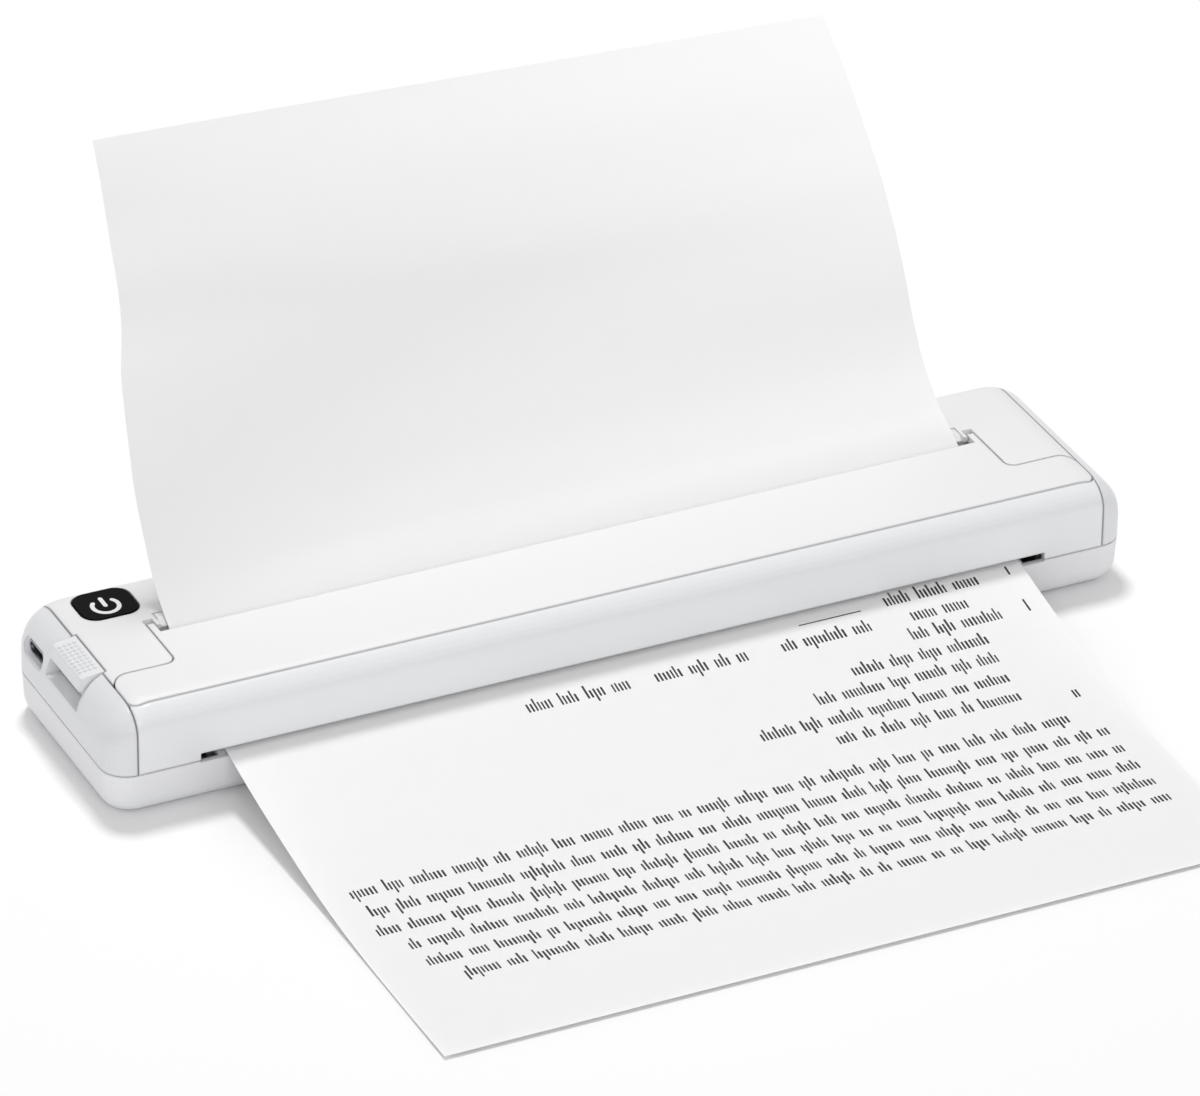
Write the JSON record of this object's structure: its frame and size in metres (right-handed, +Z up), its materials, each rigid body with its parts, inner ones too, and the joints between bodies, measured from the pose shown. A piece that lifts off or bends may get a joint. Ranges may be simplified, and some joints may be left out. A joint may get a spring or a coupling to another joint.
{
  "type": "portable thermal printer",
  "caption": "Slim A4 portable thermal printer: rounded white housing, hinged cover over the print line, end latch, black power button, and a sheet of paper in its feed path.",
  "frame": {"origin": "centre of the flat underside, on the surface that the printer stands on", "axes": "+X along the printer's length towards its right end as seen from the outlet side, +Y from the paper outlet towards the rear, +Z up"},
  "size_m": [0.269, 0.2332, 0.1372],
  "materials": {
    "housing_white": "fine satin texture",
    "panel_white": "fine satin texture",
    "cap_grey": "fine satin texture",
    "tray_white": "fine satin texture",
    "latch_grey": "satin with raised dots",
    "key_black": "polished",
    "foot_rubber": "matt",
    "roller_rubber": "ground matt",
    "screw_steel": "zinc plated",
    "shaft_steel": "ground",
    "sheet_steel": "rolled, zinc plated",
    "bracket_white": "moulded",
    "tear_steel": "stamped",
    "head_aluminium": "extruded",
    "head_ceramic": "glazed print line",
    "cable_film": "polyimide film",
    "gear_nylon": "moulded",
    "gear_brass": "hobbed",
    "bush_black": "moulded",
    "motor_steel": "drawn can",
    "cell_wrap": "shrink wrap over a steel can, at a cell's density",
    "holder_black": "moulded",
    "board_green": "solder mask",
    "chip_black": "moulded",
    "socket_steel": "drawn",
    "plunger_white": "moulded",
    "sheet_paper": "smooth copier sheet"
  },
  "bodies": {
    "base": {"lower_shell": "tray_white", "rear_deck": "housing_white", "left_end_cap": "cap_grey", "right_end_cap": "cap_grey", "rubber_feet": "foot_rubber", "case_screws": "screw_steel", "left_side_frame": "sheet_steel", "right_side_frame": "sheet_steel", "frame_screws": "screw_steel", "paper_guide": "bracket_white", "paper_sensor": "chip_black", "platen_bushes": "bush_black", "idler_axle": "shaft_steel", "stepper_motor": "motor_steel", "battery_cells": "cell_wrap", "battery_holder": "holder_black", "main_board": "board_green", "board_chips": "chip_black", "usb_socket": "socket_steel", "tact_switch": "chip_black", "latch_spring": "tear_steel", "paper_sheet": "sheet_paper"},
    "cover": {"cover_top": "housing_white", "front_panel": "panel_white", "cover_frame": "bracket_white", "tear_bar": "tear_steel", "hinge_pins": "shaft_steel", "head_plate": "head_aluminium", "head_ceramic": "head_ceramic", "head_cable": "cable_film"},
    "latch": {"latch_button": "latch_grey"},
    "power_key": {"power_button": "key_black", "switch_plunger": "plunger_white"},
    "platen": {"platen_shaft": "shaft_steel", "platen_rubber": "roller_rubber", "platen_gear": "gear_nylon"},
    "idler": {"idler_gear": "gear_nylon"},
    "pinion": {"motor_pinion": "gear_brass"}
  },
  "joints": [
    {"name": "cover_hinge", "type": "hinge", "parent": "base", "child": "cover", "pos_m": [0, 0.0049, 0.0264], "axis": [-1, 0, 0], "range_deg": [0, 70]},
    {"name": "latch_slide", "type": "slide", "parent": "base", "child": "latch", "axis": [-1, 0, 0], "range_m": [0, 0.0025], "stiffness_N_per_m": 300, "springref_m": -0.002},
    {"name": "power_press", "type": "slide", "parent": "base", "child": "power_key", "axis": [0, 0, -1], "range_m": [0, 0.0008], "stiffness_N_per_m": 700, "springref_m": -0.0008},
    {"name": "platen_spin", "type": "hinge", "parent": "base", "child": "platen", "pos_m": [0, -0.0146, 0.0103], "axis": [1, 0, 0], "continuous": true},
    {"name": "idler_spin", "type": "hinge", "parent": "base", "child": "idler", "pos_m": [0, -0.005, 0.01311], "axis": [1, 0, 0], "continuous": true},
    {"name": "pinion_spin", "type": "hinge", "parent": "base", "child": "pinion", "pos_m": [0, 0.00699, 0.01353], "axis": [1, 0, 0], "continuous": true}
  ],
  "couplings": [
    {"joint": "idler_spin", "follows": "platen_spin", "ratio": -1.8571},
    {"joint": "pinion_spin", "follows": "platen_spin", "ratio": 5.5714}
  ]
}
